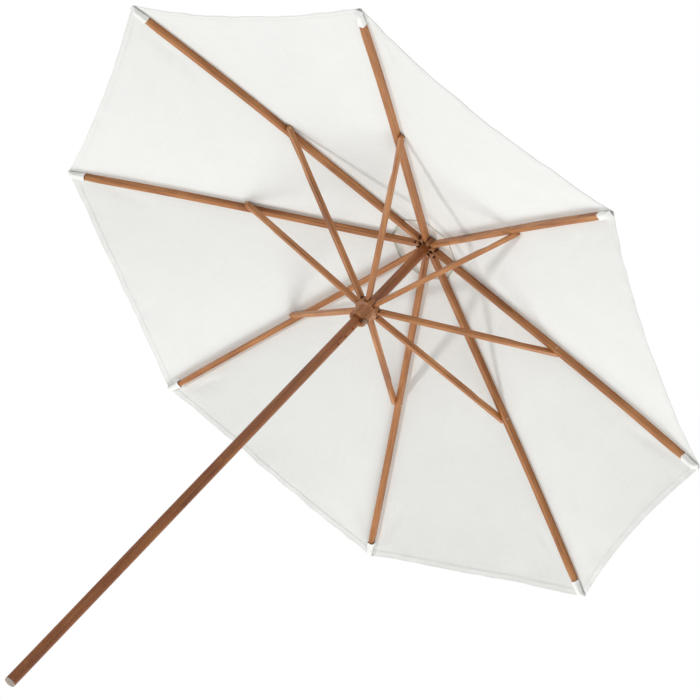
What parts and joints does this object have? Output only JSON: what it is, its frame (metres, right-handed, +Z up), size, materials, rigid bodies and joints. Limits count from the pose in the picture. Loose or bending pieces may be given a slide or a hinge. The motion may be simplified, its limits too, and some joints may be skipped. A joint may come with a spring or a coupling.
{
  "type": "patio umbrella",
  "caption": "Wooden market umbrella with a vented octagonal cloth canopy that folds down on hinged ribs and struts round a sliding runner; no base.",
  "frame": {"origin": "centre of the underside of the pole's foot plug, on the pole axis", "axes": "+Z up along the pole, +X along rib 1, the other ribs every 45 degrees about +Z"},
  "size_m": [2.7, 2.7, 2.4721],
  "materials": {
    "frame_wood": "oiled reddish-brown hardwood, satin",
    "pole_wood": "oiled reddish-brown hardwood, satin",
    "canopy_cloth": "woven off-white canvas, matte",
    "brass": "satin",
    "steel": "satin",
    "foot_plastic": "matte"
  },
  "bodies": {
    "pole": {"pole": "pole_wood", "foot_cap": "foot_plastic", "hub": "frame_wood", "hub_wire": "steel", "top_patch": "canopy_cloth", "finial": "frame_wood", "finial_screw": "steel"},
    "lock_pin": {"lock_pin": "brass"},
    "runner": {"runner": "frame_wood", "runner_wire": "steel"},
    "rib_1": {"rib_1": "frame_wood", "strut_pin_1": "brass", "rib_pocket_1": "canopy_cloth", "gore_1": "canopy_cloth", "vent_cap_1": "canopy_cloth"},
    "strut_1": {"strut_1": "frame_wood"},
    "rib_2": {"rib_2": "frame_wood", "strut_pin_2": "brass", "rib_pocket_2": "canopy_cloth", "gore_2": "canopy_cloth", "vent_cap_2": "canopy_cloth"},
    "strut_2": {"strut_2": "frame_wood"},
    "rib_3": {"rib_3": "frame_wood", "strut_pin_3": "brass", "rib_pocket_3": "canopy_cloth", "gore_3": "canopy_cloth", "vent_cap_3": "canopy_cloth"},
    "strut_3": {"strut_3": "frame_wood"},
    "rib_4": {"rib_4": "frame_wood", "strut_pin_4": "brass", "rib_pocket_4": "canopy_cloth", "gore_4": "canopy_cloth", "vent_cap_4": "canopy_cloth"},
    "strut_4": {"strut_4": "frame_wood"},
    "rib_5": {"rib_5": "frame_wood", "strut_pin_5": "brass", "rib_pocket_5": "canopy_cloth", "gore_5": "canopy_cloth", "vent_cap_5": "canopy_cloth"},
    "strut_5": {"strut_5": "frame_wood"},
    "rib_6": {"rib_6": "frame_wood", "strut_pin_6": "brass", "rib_pocket_6": "canopy_cloth", "gore_6": "canopy_cloth", "vent_cap_6": "canopy_cloth"},
    "strut_6": {"strut_6": "frame_wood"},
    "rib_7": {"rib_7": "frame_wood", "strut_pin_7": "brass", "rib_pocket_7": "canopy_cloth", "gore_7": "canopy_cloth", "vent_cap_7": "canopy_cloth"},
    "strut_7": {"strut_7": "frame_wood"},
    "rib_8": {"rib_8": "frame_wood", "strut_pin_8": "brass", "rib_pocket_8": "canopy_cloth", "gore_8": "canopy_cloth", "vent_cap_8": "canopy_cloth"},
    "strut_8": {"strut_8": "frame_wood"}
  },
  "joints": [
    {"name": "canopy_fold", "type": "hinge", "parent": "pole", "child": "rib_1", "pos_m": [0.034, 0, 2.372], "axis": [0, 1, 0], "range_deg": [0, 68.4], "deforming": ["gore_1", "vent_cap_1"]},
    {"name": "strut_1_pivot", "type": "hinge", "parent": "rib_1", "child": "strut_1", "pos_m": [0.668, 0, 2.183], "axis": [0, 1, 0], "range_deg": [-136.8, 0]},
    {"name": "rib_2_fold", "type": "hinge", "parent": "pole", "child": "rib_2", "pos_m": [0.02404, 0.02404, 2.372], "axis": [-0.7071, 0.7071, 0], "range_deg": [0, 68.4], "deforming": ["gore_2", "vent_cap_2"]},
    {"name": "strut_2_pivot", "type": "hinge", "parent": "rib_2", "child": "strut_2", "pos_m": [0.47235, 0.47235, 2.183], "axis": [-0.7071, 0.7071, 0], "range_deg": [-136.8, 0]},
    {"name": "rib_3_fold", "type": "hinge", "parent": "pole", "child": "rib_3", "pos_m": [0, 0.034, 2.372], "axis": [-1, 0, 0], "range_deg": [0, 68.4], "deforming": ["gore_3", "vent_cap_3"]},
    {"name": "strut_3_pivot", "type": "hinge", "parent": "rib_3", "child": "strut_3", "pos_m": [0, 0.668, 2.183], "axis": [-1, 0, 0], "range_deg": [-136.8, 0]},
    {"name": "rib_4_fold", "type": "hinge", "parent": "pole", "child": "rib_4", "pos_m": [-0.02404, 0.02404, 2.372], "axis": [-0.7071, -0.7071, 0], "range_deg": [0, 68.4], "deforming": ["gore_4", "vent_cap_4"]},
    {"name": "strut_4_pivot", "type": "hinge", "parent": "rib_4", "child": "strut_4", "pos_m": [-0.47235, 0.47235, 2.183], "axis": [-0.7071, -0.7071, 0], "range_deg": [-136.8, 0]},
    {"name": "rib_5_fold", "type": "hinge", "parent": "pole", "child": "rib_5", "pos_m": [-0.034, 0, 2.372], "axis": [0, -1, 0], "range_deg": [0, 68.4], "deforming": ["gore_5", "vent_cap_5"]},
    {"name": "strut_5_pivot", "type": "hinge", "parent": "rib_5", "child": "strut_5", "pos_m": [-0.668, 0, 2.183], "axis": [0, -1, 0], "range_deg": [-136.8, 0]},
    {"name": "rib_6_fold", "type": "hinge", "parent": "pole", "child": "rib_6", "pos_m": [-0.02404, -0.02404, 2.372], "axis": [0.7071, -0.7071, 0], "range_deg": [0, 68.4], "deforming": ["gore_6", "vent_cap_6"]},
    {"name": "strut_6_pivot", "type": "hinge", "parent": "rib_6", "child": "strut_6", "pos_m": [-0.47235, -0.47235, 2.183], "axis": [0.7071, -0.7071, 0], "range_deg": [-136.8, 0]},
    {"name": "rib_7_fold", "type": "hinge", "parent": "pole", "child": "rib_7", "pos_m": [0, -0.034, 2.372], "axis": [1, 0, 0], "range_deg": [0, 68.4], "deforming": ["gore_7", "vent_cap_7"]},
    {"name": "strut_7_pivot", "type": "hinge", "parent": "rib_7", "child": "strut_7", "pos_m": [0, -0.668, 2.183], "axis": [1, 0, 0], "range_deg": [-136.8, 0]},
    {"name": "rib_8_fold", "type": "hinge", "parent": "pole", "child": "rib_8", "pos_m": [0.02404, -0.02404, 2.372], "axis": [0.7071, 0.7071, 0], "range_deg": [0, 68.4], "deforming": ["gore_8", "vent_cap_8"]},
    {"name": "strut_8_pivot", "type": "hinge", "parent": "rib_8", "child": "strut_8", "pos_m": [0.47235, -0.47235, 2.183], "axis": [0.7071, 0.7071, 0], "range_deg": [-136.8, 0]},
    {"name": "runner_pivot", "type": "hinge", "parent": "strut_1", "child": "runner", "pos_m": [0.034, 0, 1.99399], "axis": [0, 1, 0], "range_deg": [0, 68.4]},
    {"name": "lock_pin_pull", "type": "slide", "parent": "pole", "child": "lock_pin", "axis": [0.3827, -0.9239, 0], "range_m": [0, 0.07]}
  ],
  "couplings": [
    {"joint": "strut_1_pivot", "follows": "canopy_fold", "ratio": -2},
    {"joint": "rib_2_fold", "follows": "canopy_fold", "ratio": 1},
    {"joint": "strut_2_pivot", "follows": "canopy_fold", "ratio": -2},
    {"joint": "rib_3_fold", "follows": "canopy_fold", "ratio": 1},
    {"joint": "strut_3_pivot", "follows": "canopy_fold", "ratio": -2},
    {"joint": "rib_4_fold", "follows": "canopy_fold", "ratio": 1},
    {"joint": "strut_4_pivot", "follows": "canopy_fold", "ratio": -2},
    {"joint": "rib_5_fold", "follows": "canopy_fold", "ratio": 1},
    {"joint": "strut_5_pivot", "follows": "canopy_fold", "ratio": -2},
    {"joint": "rib_6_fold", "follows": "canopy_fold", "ratio": 1},
    {"joint": "strut_6_pivot", "follows": "canopy_fold", "ratio": -2},
    {"joint": "rib_7_fold", "follows": "canopy_fold", "ratio": 1},
    {"joint": "strut_7_pivot", "follows": "canopy_fold", "ratio": -2},
    {"joint": "rib_8_fold", "follows": "canopy_fold", "ratio": 1},
    {"joint": "strut_8_pivot", "follows": "canopy_fold", "ratio": -2},
    {"joint": "runner_pivot", "follows": "canopy_fold", "ratio": 1}
  ]
}
